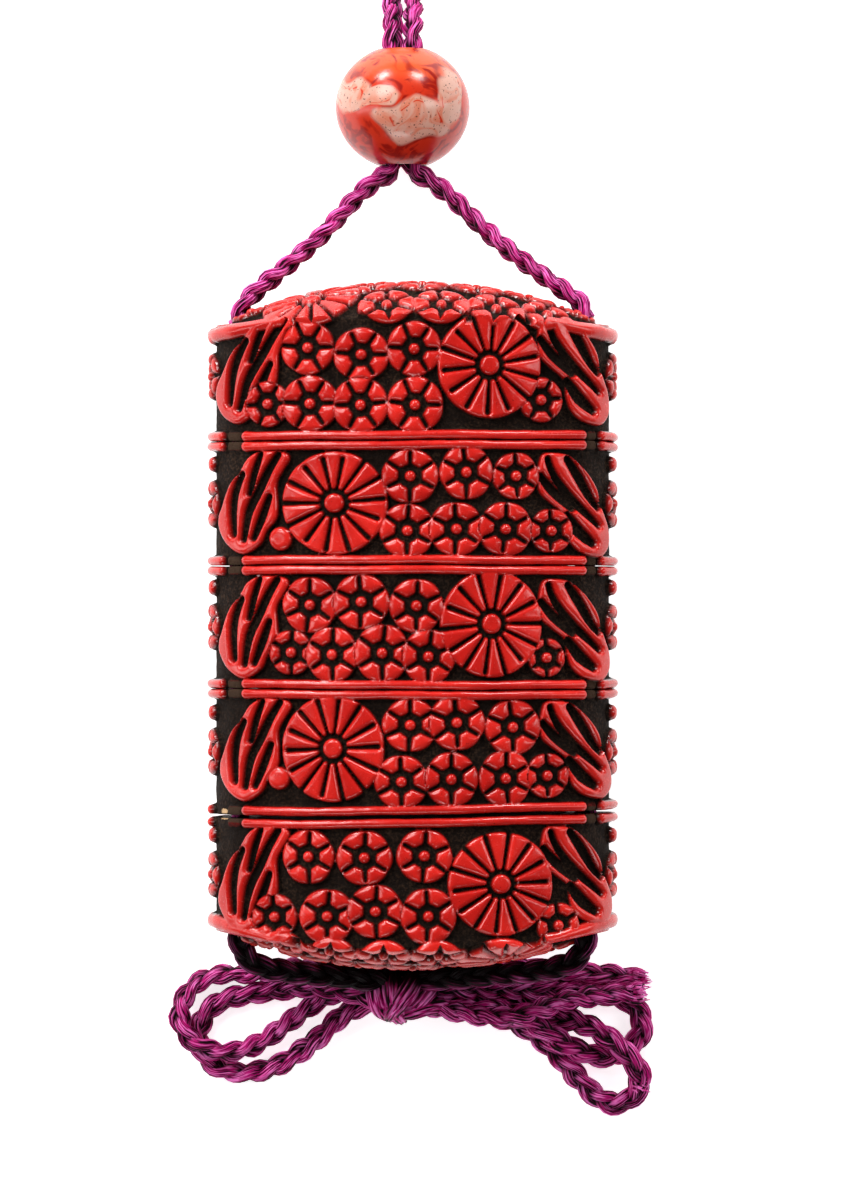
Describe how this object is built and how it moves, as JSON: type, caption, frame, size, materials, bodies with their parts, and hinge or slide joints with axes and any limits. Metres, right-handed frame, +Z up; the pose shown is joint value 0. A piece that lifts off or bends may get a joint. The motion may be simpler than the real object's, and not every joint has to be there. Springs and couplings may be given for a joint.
{
  "type": "inro case",
  "caption": "Tiered oval carrying case with a lid, carved with blossoms in red lacquer, strung on a purple silk cord with a round marbled bead and a bow knot.",
  "frame": {"origin": "bottom centre of the lying case, on the surface it lies on, without its cord and bead", "axes": "+Z up out of the carved front, +Y along the case towards the lid and the bead, +X to the right seen from above"},
  "size_m": [0.0614, 0.1564, 0.0267],
  "materials": {
    "lacquer": "carved cinnabar-red lacquer over wood, glossy on the relief, dark brown and dusty in the ground",
    "bead": "glossy orange-red with pale pink swirls and small dark specks",
    "cord": "magenta-purple braided silk with a soft sheen"
  },
  "bodies": {
    "root": {"lid": "lacquer", "upper_case": "lacquer", "middle_case": "lacquer", "lower_case": "lacquer", "base_case": "lacquer", "ojime_bead": "bead", "bow_knot": "cord", "cord_left_channel": "cord", "cord_right_channel": "cord", "cord_left_rise": "cord", "cord_right_rise": "cord", "cord_netsuke_loop": "cord", "cord_left_lead": "cord", "cord_right_lead": "cord", "cord_left_upper_loop": "cord", "cord_left_lower_loop": "cord", "cord_right_upper_end": "cord", "cord_right_lower_end": "cord", "cord_right_rear_loop": "cord", "cord_right_front_loop": "cord"}
  },
  "joints": []
}
